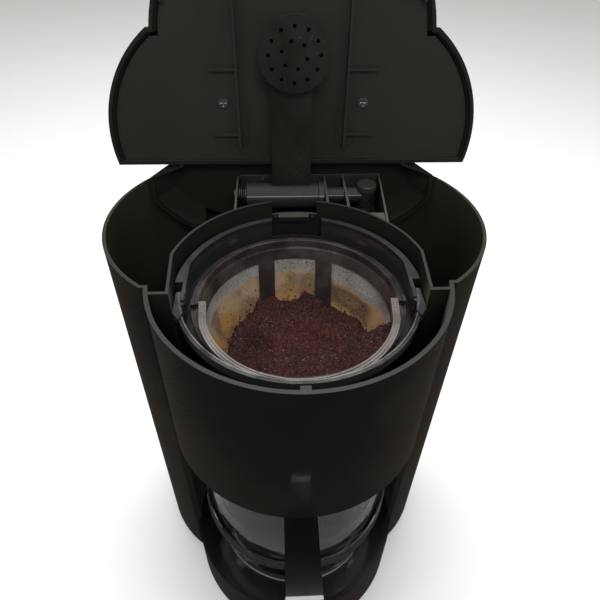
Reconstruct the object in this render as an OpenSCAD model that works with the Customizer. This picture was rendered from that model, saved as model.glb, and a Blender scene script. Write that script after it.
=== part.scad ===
/* [Housing] */
// Outer radius of the round brew chamber at the front
front_r = 80; // [78:1:82]
// Radius of the two curves that make the sides of the water tank
tank_r = 78; // [77:1:80]
// Sideways distance from the middle to each tank curve's centre
tank_x = 34; // [33:1:38]
// Distance from the brew axis back to the tank curves' centres
tank_y = 51; // [50:1:53]
// Height of the open rim above the table
rim_z = 300; // [290:1:320]
// Depth of the brew chamber below the rim, floor included
chamber_d = 110; // [108:1:116]
// Wall thickness of the brew chamber's front
front_wall = 2.2; // [1.8:0.2:2.6]
// Wall thickness of the tank
tank_wall = 2; // [1.8:0.1:2.4]

/* [Base] */
// Height of the rubber feet
foot_h = 4; // [3:0.5:6]
// Height of the base deck above the table
deck_z = 46; // [44:1:52]
// Radius of the warming plate
plate_r = 61; // [58:1:64]

/* [Lid] */
// Angle that the lid stands open at rest
lid_open = 94; // [88:1:94]
// Height of the closed lid above the rim
lid_h = 16; // [15:0.5:18]
// Wall thickness of the lid
lid_wall = 2.2; // [1.8:0.1:2.4]
// Radius of the hinge barrel
barrel_r = 8.2; // [7.6:0.1:8.6]
// Radius of the shower head
shower_r = 20; // [16:1:24]

/* [Filter] */
// Rim radius of the permanent filter
filter_r = 58.3; // [57:0.1:59]
// Gap between the closed drip stop and the bottom of the permanent filter
filter_gap = 10; // [4:1:16]
// Distance of each rib of the permanent filter from its centre plane
rib_x = 18; // [15:0.5:21]

/* [Carafe] */
// Greatest radius of the glass bowl
bowl_r = 68; // [66:1:70]
// Radius of the glass neck
neck_r = 44; // [42:1:46]
// Reach of the carafe handle in front of the brew axis
handle_reach = 129; // [120:1:134]

/* [Hidden] */
$fn = 96;
eps = 0.01;
far = 400;

black = [0.07, 0.065, 0.06];
soft_black = [0.13, 0.125, 0.12];
hinge_grey = [0.2, 0.19, 0.2];
smoke = [0.2, 0.2, 0.24, 0.85];
brown_smoke = [0.3, 0.24, 0.22, 0.85];
steel = [0.72, 0.72, 0.74];
aluminium = [0.62, 0.63, 0.65];
rubber = [0.1, 0.1, 0.1];
silicone = [0.85, 0.84, 0.8];
clear = [0.8, 0.88, 0.92, 0.4];
white = [0.9, 0.9, 0.88];

// Housing
step_y = -10.8;                          // front end of the tank, where it steps in to the chamber
shelf_y = -16;                           // front face of the chamber's side shelves
divider_r = front_r - 10;                // inner radius of the curved wall behind the basket
divider_wall = 1.6;
divider_y = 17;                          // where the divider's curve turns straight
divider_x = front_r - 14;                // half the inner width at the shelves
chamber_z = rim_z - chamber_d;           // underside of the brew chamber
chamber_floor = 3;
chamber_in_z = chamber_z + chamber_floor;
chamber_hole_r = 16;
bay_r = front_r - front_wall;            // radius of the carafe bay
bay_wall = 2.5;
tank_back_y = tank_y + tank_r;
tank_floor_z = rim_z - 182;              // underside of the tank floor
tank_floor = 2.5;
inlet_x = -44;                           // tank outlet and cold water hose
inlet_y = 92;
riser_x = 47.5;                          // hot water riser
riser_y = tank_back_y - 42;
window_turn = -8;                        // where the level window sits on the right tank curve
window_low = tank_floor_z + 12;
window_h = 110;
window_w = 10;

// Hinge
hinge_y = tank_back_y - 42;
hinge_z = rim_z - 6;
tray_left = -37;
tray_right = 58.5;
tray_back = hinge_y + 16.6;
tray_wall = 1.2;
tray_floor_z = rim_z - 24;
notch_w = 28;
notch_d = 9;
barrel_left = -30;
barrel_right = 16;
pin_r = 3.5;
spigot_r = 4.5;
seam_turn = -22;
tube_r = 5;
run_gap = 0.05;                          // running fit between a pin and its bore

// Lid
lid_gap = 0.5;                           // between the rim and the closed lid
lid_low_z = rim_z + lid_gap;
lid_edge_z = rim_z + 2.5;                // where the upright edge turns into the bevel
lid_top_z = rim_z + lid_h;
lid_split_y = hinge_y - 19;              // behind this line the lid is narrower, to dip into the tank
lid_back_y = hinge_y + 28;
lid_tail_x = tank_x + 58.5;              // half width of the tail at its lower edge
lid_tail_inset = 5.5;                    // from the tank's outer plan to the tail's
lid_tail_neck = tank_x + 38;            // half width of the tail where it starts
lid_tail_open = 60.5;                    // half width of the tail's part that passes over the tray
arm_left = -13.5;
arm_right = 10.6;
arm_low_z = rim_z - 8.5;
liner_z = rim_z + 2.5;
liner_t = 2;
deck_arc_r = sqrt(pow(lid_back_y - hinge_y, 2) + pow(lid_top_z - hinge_z, 2)) + 0.9;

// Basket
collar_r = divider_r - 3.6;
collar_z = rim_z - 8.8;
collar_end_y = 3.6;                      // front ends of the raised collar
lip_r = front_r - 14.3;
lip_z = rim_z - 11;
ledge_z = rim_z - 22.2;                  // the filter's rim hangs on this ledge
basket_floor_z = chamber_in_z + 3.5;
basket_low_z = chamber_in_z + 0.3;
spout_r = 12;
spout_z = chamber_z - 3;
seat_r = 4;
flat_x = filter_r + 1.8;                 // inner faces of the straight walls beside the filter
ear_x = lip_r - 0.9;                     // outer faces of the two side ears, and their back ends
ear_y = -3.2;

// Drip stop
plunger_tip_z = spout_z - 0.5;
cage_h = 12;
stem_h = cage_h + 2;                     // the plunger's top above the basket's floor

// Filter
filter_z = rim_z - 19.5;
filter_low_r = filter_r - 20;
filter_rib_h = 2;                        // the cross under the filter's floor
filter_low_z = basket_floor_z + stem_h + filter_gap + filter_rib_h;
rib_w = 10;
filter_band = 11.5;                      // closed band between the rim and the mesh windows
bail_x = filter_r - 6.4;                 // the bail's pivots
bail_y = -4;
bend_x = filter_r - 7.9;                 // where its straight legs meet the front curve
bend_y = -20;
bail_front = filter_r + 1.7;             // how far the middle of the front curve stands forward
bail_w = 3.8;
bail_t = 2.8;
bail_low_z = filter_z + 0.3;
bail_pin_z = bail_low_z + bail_t / 2;

// Base
base_low_z = foot_h;
skirt_wall = 2.5;
panel_t = 2.5;
gasket_t = 1.3;
plate_t = 1.2;
plate_z = deck_z + gasket_t + plate_t;   // top of the warming plate
plate_hole_r = plate_r - 3;
heater_r = 44;
heater_z = deck_z - 11;                  // axis of the heater's water tube
hose_r = 5.7;
pipe_r = 4.5;                            // every water pipe's outside and hose's inside
bend_r = 14;
heater_leg_y = 48;                       // back ends of the heater's water tube
foot_r = 9;
screw_r = 1.5;
boss_r = 4;
foot_side = tank_x + tank_r - 50;
foot_back = tank_y + tank_r - 37;
foot_mid = front_r - 30;
feet = [
    [-foot_mid, 4 - foot_mid], [foot_mid, 4 - foot_mid], [-foot_side, foot_back], [foot_side, foot_back]
];
boss_side = tank_x + tank_r - 28;
boss_back = tank_y + 11;
boss_mid = front_r - 12;
bosses = [
    [-boss_mid, -14], [boss_mid, -14], [-boss_side, boss_back], [boss_side, boss_back]
];
flat_y = -(front_r - 2.5);               // the flat at the front that holds the switch
switch_z = deck_z / 2 + 2;
rocker_l = 20;
rocker_w = 11;
rocker_tilt = 6;
rocker_back = 6;                         // from the bezel's face to the rocker's pin
gland_x = 24;
gland_z = 22;
cord_r = 3.5;

// Carafe
carafe_z = plate_z + 0.3;
carafe_top_z = chamber_z - 4.2;          // crown of the carafe lid, just under the drip stop
neck_z = carafe_top_z - 22;
glass_t = 2.2;
foot_ring_r = bowl_r - 13;
band_z = carafe_z + 40;
band_h = 12;
collar_low_z = neck_z - 6;
collar_high_z = neck_z + 8;
handle_w = 20;
handle_t = 15;
handle_round = handle_w * 0.8;

switch_lip = 1.5;
switch_cut_l = rocker_l + 7.6;
switch_cut_h = rocker_w + 5;
rocker_hole = rocker_l + 3;
valve_low_z = 78;                        // lower end of the check valve's body
riser_low_z = 62;
seal_r = 6.4;
arm_mid = (arm_left + arm_right) / 2;
duct_w = 10;                             // water channel inside the arm
arm_end_y = -0.3 * shower_r;
liner_inset = 4.6;
lid_boss_x = front_r - 38;
lid_bosses = [[-lid_boss_x, 30], [lid_boss_x, 30]];
screw_l = lid_h / 2;
deck_block_x = tank_x + 28;             // half width of the deck behind the tray
deck_front_y = hinge_y + 20;
liner_ribs = [-34, 10, 48];
plunger_r = 2;
handle_screw_y = 92;

// ---- Outlines seen from above ----

// Everything behind the line y
module behind(y) translate([-far, y]) square(2 * far);

// Everything in front of the line y
module before(y) translate([-far, y - 2 * far]) square(2 * far);

module stadium(inset = 0) {
    for (side = [-1, 1])
        translate([side * tank_x, tank_y]) circle(tank_r - inset);
    translate([-tank_x, tank_y - tank_r + inset])
        square([2 * tank_x, 2 * (tank_r - inset)]);
}

// The tank's outer plan, or its hollow when inset
module tank_plan(inset = 0) intersection() {
    stadium(inset);
    behind(step_y + inset);
}

module body_plan(inset = 0) {
    circle(front_r - inset);
    tank_plan(inset);
}

// The inside of the curved wall behind the basket, and of its straight sides
module divider_plan(grow = 0) {
    r = divider_r + grow;
    x = sqrt(r * r - divider_y * divider_y);
    intersection() {
        circle(r);
        behind(divider_y);
    }
    polygon([
        [-x, divider_y + eps], [x, divider_y + eps],
        [divider_x + grow, shelf_y], [-divider_x - grow, shelf_y]
    ]);
}

// The hollow of the brew chamber
module chamber_plan() {
    intersection() {
        circle(front_r - front_wall);
        before(shelf_y + eps);
    }
    divider_plan();
}

// The hollow of the column behind the carafe bay
module column_plan() difference() {
    tank_plan(tank_wall);
    circle(bay_r + bay_wall);
    before(4);
}

module raise(z, h) translate([0, 0, z]) linear_extrude(h) children();

// ---- Base ----

module foot(i) color(rubber) translate([feet[i][0], feet[i][1], 0]) difference() {
    union() {
        cylinder(r1 = foot_r - 1, r2 = foot_r, h = 1);
        translate([0, 0, 1]) cylinder(r = foot_r, h = base_low_z - 1);
        translate([0, 0, base_low_z]) cylinder(r = 3.4, h = panel_t + 1.5);
    }
    translate([0, 0, -eps]) cylinder(r = 4, h = 1.2);
}

module base_screws() color(steel)
    for (p = bosses)
        translate([p[0], p[1], base_low_z + 0.3]) cross_screw(3.2, 1.4, 14);

module cross_screw(head_r, head_h, length) {
    difference() {
        union() {
            cylinder(r = head_r, h = head_h);
            cylinder(r = screw_r, h = length);
        }
        for (turn = [0, 90])
            rotate(turn) translate([1 - head_r, -0.35, -1]) cube([2 * head_r - 2, 0.7, 1.7]);
    }
}

module base_plate() color(soft_black) difference() {
    raise(base_low_z, panel_t) intersection() {
        body_plan(skirt_wall + 0.3);
        behind(flat_y + skirt_wall + 0.3);
    }
    for (p = feet)
        translate([p[0], p[1], 0]) cylinder(r = 3.5, h = base_low_z + panel_t + 1);
    for (p = bosses) {
        translate([p[0], p[1], 0]) cylinder(r = screw_r + 0.1, h = base_low_z + panel_t + 1);
        translate([p[0], p[1], 0]) cylinder(r = 3.4, h = base_low_z + 1.7);
    }
    for (i = [-3:3])
        translate([i * 9 - 1.5, -14, 0]) cube([3, 28, base_low_z + panel_t + 1]);
}

module base_shell() color(black) {
    difference() {
        raise(base_low_z, deck_z - base_low_z) intersection() {
            body_plan();
            behind(flat_y);
        }
        raise(base_low_z - 1, deck_z - base_low_z - panel_t + 1) intersection() {
            body_plan(skirt_wall);
            behind(flat_y + skirt_wall);
        }
        translate([0, 0, deck_z - 10]) cylinder(r = plate_hole_r, h = 20);
        for (p = [[inlet_x, inlet_y], [riser_x, riser_y]])
            translate([p[0], p[1], deck_z - 10]) cylinder(r = 9, h = 20);
        translate([gland_x, tank_back_y + 1, gland_z]) rotate([90, 0, 0])
            cylinder(r = cord_r + 2.5, h = 10);
        translate([-switch_cut_l / 2, flat_y - 1, switch_z - switch_cut_h / 2])
            cube([switch_cut_l, 10, switch_cut_h]);
    }
    for (p = bosses)
        translate([p[0], p[1], base_low_z + panel_t + 0.3]) difference() {
            cylinder(r = boss_r, h = deck_z - base_low_z - 2 * panel_t);
            translate([0, 0, -eps]) cylinder(r = screw_r, h = 13);
        }
}

module plate_gasket() color(silicone) translate([0, 0, deck_z]) difference() {
    cylinder(r = plate_r, h = gasket_t);
    translate([0, 0, -1]) cylinder(r = plate_hole_r - 0.3, h = gasket_t + 2);
}

module warming_plate() color(soft_black) translate([0, 0, plate_z - plate_t]) {
    cylinder(r = plate_r, h = plate_t);
    translate([0, 0, -7]) difference() {
        cylinder(r = plate_hole_r - 0.6, h = 7 + eps);
        translate([0, 0, -1]) cylinder(r = plate_hole_r - 1.8, h = 9);
    }
}

// A horseshoe casting against the plate's underside, with the water tube along its lower face
module heater() color(aluminium) {
    cast_low_z = heater_z + 2;
    raise(cast_low_z, plate_z - plate_t - cast_low_z) difference() {
        horseshoe(heater_r + 8, 12);
        horseshoe(heater_r - 8, 13);
    }
    translate([0, 0, heater_z]) {
        rotate(180) rotate_extrude(angle = 180) translate([heater_r, 0]) circle(pipe_r);
        for (side = [-1, 1])
            translate([side * heater_r, 0, 0]) rotate([-90, 0, 0])
                cylinder(r = pipe_r, h = heater_leg_y);
    }
}

module horseshoe(r, leg) {
    intersection() {
        circle(r);
        before(0);
    }
    translate([-r, 0]) square([2 * r, leg]);
}

module heater_clamp() color(steel) difference() {
    union() {
        translate([-24, -6, heater_z + 3]) cube([48, 12, 1.5]);
        for (side = [-1, 1])
            translate([side * 23.25 - 0.75, -6, heater_z + 3])
                cube([1.5, 12, plate_z - plate_t - heater_z - 3]);
    }
    translate([0, 0, heater_z]) cylinder(r = 2, h = 10);
}

module thermostat() color(steel) translate([0, -21, 0]) {
    translate([0, 0, plate_z - plate_t - 7]) cylinder(r = 8, h = 7);
    translate([0, 0, plate_z - plate_t - 11]) cylinder(r = 6, h = 4 + eps);
    for (side = [-1, 1])
        translate([side * 4 - 0.4, -2.5, plate_z - plate_t - 19]) cube([0.8, 5, 8 + eps]);
}

module thermal_fuse() color(white) translate([-14, 22, plate_z - plate_t - 4]) {
    rotate([0, 90, 0]) cylinder(r = 2.6, h = 28);
    for (x = [-3, 28])
        translate([x, 0, 0]) rotate([0, 90, 0]) cylinder(r = 1.2, h = 3);
}

// A pipe that runs level from one place to another, then turns up to a height
module bent_pipe(from, to, top_z, r, extra = 0) {
    run = norm(to - from);
    translate([from[0], from[1], heater_z]) rotate(atan2(to[1] - from[1], to[0] - from[0])) {
        translate([-extra, 0, 0]) rotate([0, 90, 0]) cylinder(r = r, h = run - bend_r + extra);
        translate([run - bend_r, 0, bend_r]) rotate([90, 0, 0]) rotate(-90)
            rotate_extrude(angle = 90) translate([bend_r, 0]) circle(r);
        translate([run, 0, bend_r]) cylinder(r = r, h = top_z - heater_z - bend_r + extra);
    }
}

module bent_hose(from, to, top_z) difference() {
    bent_pipe(from, to, top_z, hose_r);
    bent_pipe(from, to, top_z, pipe_r, 1);
    translate([from[0], 0, heater_z]) rotate([-90, 0, 0])
        cylinder(r = pipe_r, h = heater_leg_y);
}

module cold_hose() color(silicone)
    bent_hose([-heater_r, heater_leg_y - 8], [inlet_x, inlet_y], valve_low_z);

module hot_hose() color(silicone)
    bent_hose([heater_r, heater_leg_y - 8], [riser_x, riser_y], riser_low_z + 10);

module check_valve() color(white) translate([inlet_x, inlet_y, 0]) {
    translate([0, 0, valve_low_z - 8]) cylinder(r = pipe_r, h = 8 + eps);
    translate([0, 0, valve_low_z]) cylinder(r = 8, h = 16);
    translate([0, 0, valve_low_z + 16 - eps]) cylinder(r = pipe_r, h = 8);
}

module supply_hose() color(silicone)
    translate([inlet_x, inlet_y, valve_low_z + 16]) difference() {
        cylinder(r = hose_r, h = tank_floor_z - valve_low_z - 16.5);
        translate([0, 0, -1]) cylinder(r = pipe_r, h = 100);
    }

module riser_tube() color(silicone) translate([riser_x, riser_y, riser_low_z]) difference() {
    cylinder(r = pipe_r, h = tray_floor_z + 8 - riser_low_z);
    translate([0, 0, -1]) cylinder(r = 3, h = rim_z);
}

module riser_grommet() color(rubber) translate([riser_x, riser_y, tank_floor_z]) difference() {
    union() {
        translate([0, 0, -2]) cylinder(r = 9.5, h = 2);
        cylinder(r = 7.5, h = tank_floor);
        translate([0, 0, tank_floor]) cylinder(r = 9.5, h = 2);
    }
    translate([0, 0, -3]) cylinder(r = pipe_r, h = 10);
}

module tank_strainer() color(white)
    translate([inlet_x, inlet_y, tank_floor_z + tank_floor]) difference() {
        cylinder(r = 9, h = 12);
        translate([0, 0, -1]) cylinder(r = 7.6, h = 11.5);
        for (turn = [0:60:179])
            rotate(turn) translate([-10, -0.9, 2]) cube([20, 1.8, 7]);
    }

module terminal_block() color(white) translate([-30, 98, base_low_z + panel_t]) difference() {
    cube([34, 14, 12]);
    for (i = [0:2])
        translate([6 + i * 11, 7, 4]) cylinder(r = 2.6, h = 9);
    for (i = [0:2])
        translate([6 + i * 11, -1, 6]) rotate([-90, 0, 0]) cylinder(r = 1.6, h = 16);
}

module cord_gland() color(rubber)
    translate([gland_x, tank_back_y + 3, gland_z]) rotate([90, 0, 0]) difference() {
        union() {
            cylinder(r = 8, h = 3);
            cylinder(r = cord_r + 2.5, h = 14);
            translate([0, 0, 3 + skirt_wall]) cylinder(r = 8, h = 4);
        }
        translate([0, 0, -1]) cylinder(r = cord_r, h = 20);
    }

// ---- Power switch ----

module at_switch() translate([0, flat_y - switch_lip, switch_z]) children();

module switch_hole(h) translate([-rocker_hole / 2, -1, -rocker_w / 2 - 0.3])
    cube([rocker_hole, h, rocker_w + 0.6]);

module switch_bezel() color(soft_black) at_switch() {
    difference() {
        union() {
            translate([-switch_cut_l / 2 - 2.5, 0, -switch_cut_h / 2 - 2.5])
                cube([switch_cut_l + 5, switch_lip, switch_cut_h + 5]);
            translate([-switch_cut_l / 2 + 0.2, 0, -switch_cut_h / 2 + 0.2])
                cube([switch_cut_l - 0.4, 11, switch_cut_h - 0.4]);
        }
        switch_hole(20);
    }
    translate([0, rocker_back, -rocker_w / 2 - 1]) cylinder(r = 1.2, h = rocker_w + 2);
}

module switch_body() color(soft_black) at_switch() {
    translate([-switch_cut_l / 2 + 0.2, 11, -switch_cut_h / 2 + 0.2])
        cube([switch_cut_l - 0.4, 12, switch_cut_h - 0.4]);
    for (x = [-8, 0, 8])
        translate([x - 2.4, 23 - eps, -0.4]) cube([4.8, 8, 0.8]);
}

// Drawn in its off position, tilted about the pin behind it
module power_rocker() color(hinge_grey) at_switch()
    translate([0, rocker_back, 0]) rotate(-rocker_tilt) difference() {
        translate([0, 0, -rocker_w / 2]) linear_extrude(rocker_w) polygon([
            [-rocker_l / 2, -rocker_back - 1.2], [0, -rocker_back - 0.3],
            [rocker_l / 2, -rocker_back - 1.2], [rocker_l / 2 - 1, -1],
            [3, 3], [-3, 3], [1 - rocker_l / 2, -1]
        ]);
        translate([0, 0, -rocker_w]) cylinder(r = 1.2 + run_gap, h = 2 * rocker_w);
    }

// ---- Housing ----

module tank_body() color(black) difference() {
    union() {
        tank_walls();
        // stub that the supply hose pushes on to
        translate([inlet_x, inlet_y, tank_floor_z - 9]) cylinder(r = pipe_r, h = 9 + eps);
    }
    translate([inlet_x, inlet_y, tank_floor_z - 10]) cylinder(r = 3.5, h = 20);
    translate([riser_x, riser_y, tank_floor_z - 1]) cylinder(r = 7.5, h = 10);
    translate([tank_x, tank_y, window_low]) rotate(window_turn)
        translate([tank_r - 6, -window_w / 2, 0]) cube([12, window_w, window_h]);
}

module tank_walls() difference() {
    raise(deck_z, rim_z - deck_z) tank_plan();
    // carafe bay, and the room the brew chamber stands in
    translate([0, 0, deck_z - 1]) cylinder(r = bay_r, h = chamber_z - deck_z + 1);
    translate([0, 0, chamber_z]) cylinder(r = front_r + 0.05, h = chamber_floor);
    raise(chamber_in_z - eps, chamber_d) {
        tank_plan(tank_wall);
        translate([-bay_r + 0.6, step_y - 1]) square([2 * (bay_r - 0.6), 10]);
    }
    raise(tank_floor_z + tank_floor, chamber_in_z - tank_floor_z - tank_floor) column_plan();
    raise(deck_z - 1, tank_floor_z - deck_z + 1) column_plan();
}

module brew_chamber() color(black) {
    difference() {
        translate([0, 0, chamber_z]) {
            cylinder(r = front_r, h = chamber_floor);
            linear_extrude(chamber_d) {
                intersection() {
                    circle(front_r);
                    before(step_y);
                }
                divider_plan(divider_wall);
            }
        }
        raise(chamber_in_z, chamber_d) {
            chamber_plan();
            shelf_pockets();
        }
        translate([0, 0, chamber_z - 1]) cylinder(r = chamber_hole_r, h = 10);
        translate([-notch_w / 2, divider_r - 5, rim_z - notch_d])
            cube([notch_w, 12, notch_d + 1]);
    }
    // catch on the front rim, and drip ledge under the notch
    translate([-2.8, -(bay_r + 0.2), rim_z - 6]) cube([4.8, 2.5, 6]);
    translate([-10, divider_r - 4.5, rim_z - notch_d - 3]) cube([19, 5.5, 3]);
    for (x = [-12.4, 10.6])
        translate([x, divider_r - 2.4, rim_z - notch_d - 7]) cube([1.2, 3, 6]);
}

// Tank space beside the basket, behind the side shelves
module shelf_pockets() difference() {
    intersection() {
        circle(bay_r);
        behind(shelf_y + 2);
        before(step_y + 1);
    }
    divider_plan(divider_wall);
    translate([-divider_x - divider_wall, shelf_y - 1]) square([2 * (divider_x + divider_wall), 10]);
}

// Fixed strip behind the lid, hollowed round the hinge axis so that the lid's tail can pass
module rear_deck() color(black) difference() {
    raise(rim_z, lid_h) intersection() {
        stadium();
        behind(deck_front_y);
        translate([-deck_block_x, 0]) square([2 * deck_block_x, far]);
    }
    translate([-far / 2, hinge_y, hinge_z]) rotate([0, 90, 0])
        cylinder(r = deck_arc_r, h = far);
}

module level_window() color(clear)
    translate([tank_x, tank_y, 0]) rotate(window_turn) {
        intersection() {
            difference() {
                cylinder(r = tank_r + 0.5, h = rim_z);
                translate([0, 0, -1]) cylinder(r = tank_r - tank_wall - 0.1, h = rim_z + 2);
            }
            translate([tank_r - window_w / 2, 0.2 - window_w / 2, window_low + 0.2])
                cube([window_w, window_w - 0.4, window_h - 0.4]);
        }
        intersection() {
            difference() {
                cylinder(r = tank_r - tank_wall - 0.05, h = rim_z);
                translate([0, 0, -1]) cylinder(r = tank_r - tank_wall - 1.6, h = rim_z + 2);
            }
            translate([tank_r - 12, -window_w / 2 - 2.5, window_low - 2.5])
                cube([12, window_w + 5, window_h + 5]);
        }
    }

// ---- Hinge and hot water swivel ----

module along_hinge(x) translate([x, hinge_y, hinge_z]) rotate([0, 90, 0]) children();

module hinge_tray() color(hinge_grey) difference() {
    union() {
        difference() {
            raise(tray_floor_z, rim_z - tray_floor_z) tray_plan(0);
            raise(tray_floor_z + 1.5, 40) tray_plan(tray_wall);
        }
        raise(tray_floor_z, rim_z - 0.5 - tray_floor_z) difference() {
            for (x = [21, 33.5])
                translate([x - 0.75, 40]) square([1.5, tray_back - 40.5]);
            circle(divider_r + divider_wall);
        }
        // corner gusset, and the stop bracket behind the barrel
        raise(rim_z - 3, 1.5) difference() {
            polygon([[44, 58], [55.6, 58], [54.8, 46], [44, 46]]);
            circle(divider_r + divider_wall);
        }
        translate([-20.5, tray_back - 5, tray_floor_z]) cube([1.5, 4, rim_z - tray_floor_z - 1]);
        translate([-28, tray_back - 7, rim_z - 7.5]) cube([12, 6, 1.5]);
    }
    along_hinge(tray_left - 1) cylinder(r = pin_r, h = 10);
    along_hinge(19) cylinder(r = tube_r, h = 20);
    translate([riser_x, riser_y, tray_floor_z - 1]) cylinder(r = pipe_r, h = 10);
}

module tray_plan(wall) difference() {
    polygon([
        [tray_left + wall, 40], [tray_left + wall, tray_back - 3], [tray_left + 3, tray_back - wall],
        [tray_right - wall, tray_back - wall], [tray_right - 3.6 - wall, 40]
    ]);
    circle(divider_r + divider_wall - (wall > 0 ? 1 : 0));
}

module hinge_pin() color(steel) {
    along_hinge(tray_left) cylinder(r = pin_r, h = barrel_left + 8.5 - tray_left);
    along_hinge(tray_left - 1.2) cylinder(r = pin_r + 1, h = 1.2);
}

// A torsion spring's coils, closed up into a grooved sleeve
module hinge_spring() color(steel) along_hinge(tray_left + tray_wall + 0.4)
    rotate_extrude() {
        translate([pin_r + 1.6, 0.3]) square([0.6, 4.8]);
        for (i = [0:3])
            translate([pin_r + 2, 0.8 + i * 1.25]) circle(0.65);
    }

module swivel_tube() color(hinge_grey) difference() {
    union() {
        along_hinge(barrel_right - 9.5) cylinder(r = spigot_r, h = 13);
        along_hinge(barrel_right + 3.5) cylinder(r = tube_r, h = riser_x - barrel_right - 6.5);
    }
    along_hinge(0) cylinder(r = 2.8, h = riser_x);
}

module swivel_collar() color(hinge_grey) difference() {
    along_hinge(barrel_right + 0.3) cylinder(r = barrel_r + 0.8, h = 3.2);
    along_hinge(barrel_right - 1) cylinder(r = spigot_r, h = 10);
}

module swivel_seal() color(rubber) along_hinge(barrel_right - 4) difference() {
    cylinder(r = seal_r - 0.1, h = 2);
    translate([0, 0, -1]) cylinder(r = spigot_r, h = 4);
}

// The elbow where the riser turns into the hinge: a tapered knob on a sleeve
module riser_cap() color(hinge_grey) difference() {
    translate([riser_x, riser_y, 0]) {
        translate([0, 0, tray_floor_z + 1.5]) cylinder(r = 6.5, h = 5);
        translate([0, 0, tray_floor_z + 6]) cylinder(r = 5.6, h = 3.4);
        translate([0, 0, tray_floor_z + 9]) cylinder(r = 4.4, h = 3);
        translate([0, 0, rim_z - 12.5]) cylinder(r = 5.3, h = 1.4);
        translate([0, 0, rim_z - 11.2]) cylinder(r1 = 4.7, r2 = 6.1, h = 9.8);
        translate([0, 0, rim_z - 1.5]) cylinder(r = 6.5, h = 3);
        translate([0, 0, rim_z + 1.5 - eps]) cylinder(r1 = 6.5, r2 = 5.9, h = 0.8);
    }
    translate([riser_x, riser_y, tray_floor_z - 1]) cylinder(r = pipe_r, h = 9);
    translate([riser_x, riser_y, tray_floor_z - 1]) cylinder(r = 2.8, h = 19);
    along_hinge(riser_x - 12) cylinder(r = tube_r, h = 9);
}

// ---- Lid, drawn closed and then swung open ----

module opened() translate([0, hinge_y, hinge_z]) rotate([-lid_open, 0, 0])
    translate([0, -hinge_y, -hinge_z]) children();

// The tank's plan raised to a solid with an upright edge and a bevel of 45 degrees
module tank_block(inset, low, edge, top) {
    r = tank_r - inset;
    b = top - edge;
    for (side = [0, 1])
        mirror([side, 0, 0]) translate([tank_x, tank_y, 0]) intersection() {
            union() {
                translate([0, 0, low]) cylinder(r = r, h = edge - low);
                translate([0, 0, edge]) cylinder(r1 = r, r2 = r - b, h = b);
            }
            translate([0, -2 * r, low - 1]) cube([4 * r, 4 * r, top - low + 2]);
        }
    rotate([90, 0, 90]) translate([0, 0, -tank_x]) linear_extrude(2 * tank_x) polygon([
        [tank_y - r, low], [tank_y + r, low], [tank_y + r, edge],
        [tank_y + r - b, top], [tank_y - r + b, top], [tank_y - r, edge]
    ]);
}

module front_block(inset, low, edge, top) {
    r = front_r - inset;
    translate([0, 0, low]) cylinder(r = r, h = edge - low);
    translate([0, 0, edge]) cylinder(r1 = r, r2 = r - (top - edge), h = top - edge);
}

// A slab of everything between two lines across the lid
module between(y0, y1) translate([-far / 2, y0, 0]) cube([far, y1 - y0, 2 * far]);

module lid_main(inset, low, top) intersection() {
    union() {
        front_block(inset, low, lid_edge_z, top);
        intersection() {
            tank_block(inset, low, lid_edge_z, top);
            between(step_y + inset, far);
        }
    }
    between(-far, lid_split_y - inset);
}

module lid_tail(inset, low, top, y0) intersection() {
    tank_block(lid_tail_inset + inset, low, lid_edge_z, top);
    between(y0, lid_back_y - inset);
    rotate([90, 0, 0]) translate([0, 0, -far]) linear_extrude(2 * far) polygon([
        [-lid_tail_x + inset, low - 1], [lid_tail_x - inset, low - 1],
        [lid_tail_x - inset, lid_edge_z],
        [lid_tail_x - inset - (top - lid_edge_z), top + eps],
        [-lid_tail_x + inset + (top - lid_edge_z), top + eps],
        [-lid_tail_x + inset, lid_edge_z]
    ]);
    raise(low - 1, top) polygon([
        [-lid_tail_neck + inset, 0], [lid_tail_neck - inset, 0],
        [lid_tail_neck - inset, lid_split_y + 1.5], [lid_tail_x - inset, lid_split_y + 9.5],
        [lid_tail_x, far], [-lid_tail_x, far],
        [-lid_tail_x + inset, lid_split_y + 9.5], [-lid_tail_neck + inset, lid_split_y + 1.5]
    ]);
}

module lid_shell() color(black) opened() {
    difference() {
        union() {
            lid_main(0, lid_low_z, lid_top_z);
            lid_tail(0, lid_low_z, lid_top_z, lid_split_y - eps);
        }
        lid_main(lid_wall, lid_low_z - 1, lid_top_z - lid_wall);
        lid_tail(lid_wall, lid_low_z - 1, lid_top_z - lid_wall, lid_split_y + eps);
        translate([-lid_tail_open, lid_split_y + 0.5, lid_low_z - 2])
            cube([2 * lid_tail_open, 60, lid_top_z - lid_wall - lid_low_z + 2]);
        translate([arm_left - 0.2, lid_split_y - lid_wall - 1, lid_low_z - 1])
            cube([arm_right - arm_left + 0.4, lid_wall + 2, liner_z - lid_low_z + 1.2]);
    }
    for (p = lid_bosses)
        translate([p[0], p[1], liner_z + liner_t + 0.1]) difference() {
            cylinder(r = 4, h = lid_top_z - lid_wall - liner_z - liner_t);
            translate([0, 0, -eps]) cylinder(r = screw_r, h = 6);
        }
}

module lid_screws() color(steel) opened()
    for (p = lid_bosses)
        translate([p[0], p[1], liner_z - 1.2]) cross_screw(3, 1.2, screw_l);

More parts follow.
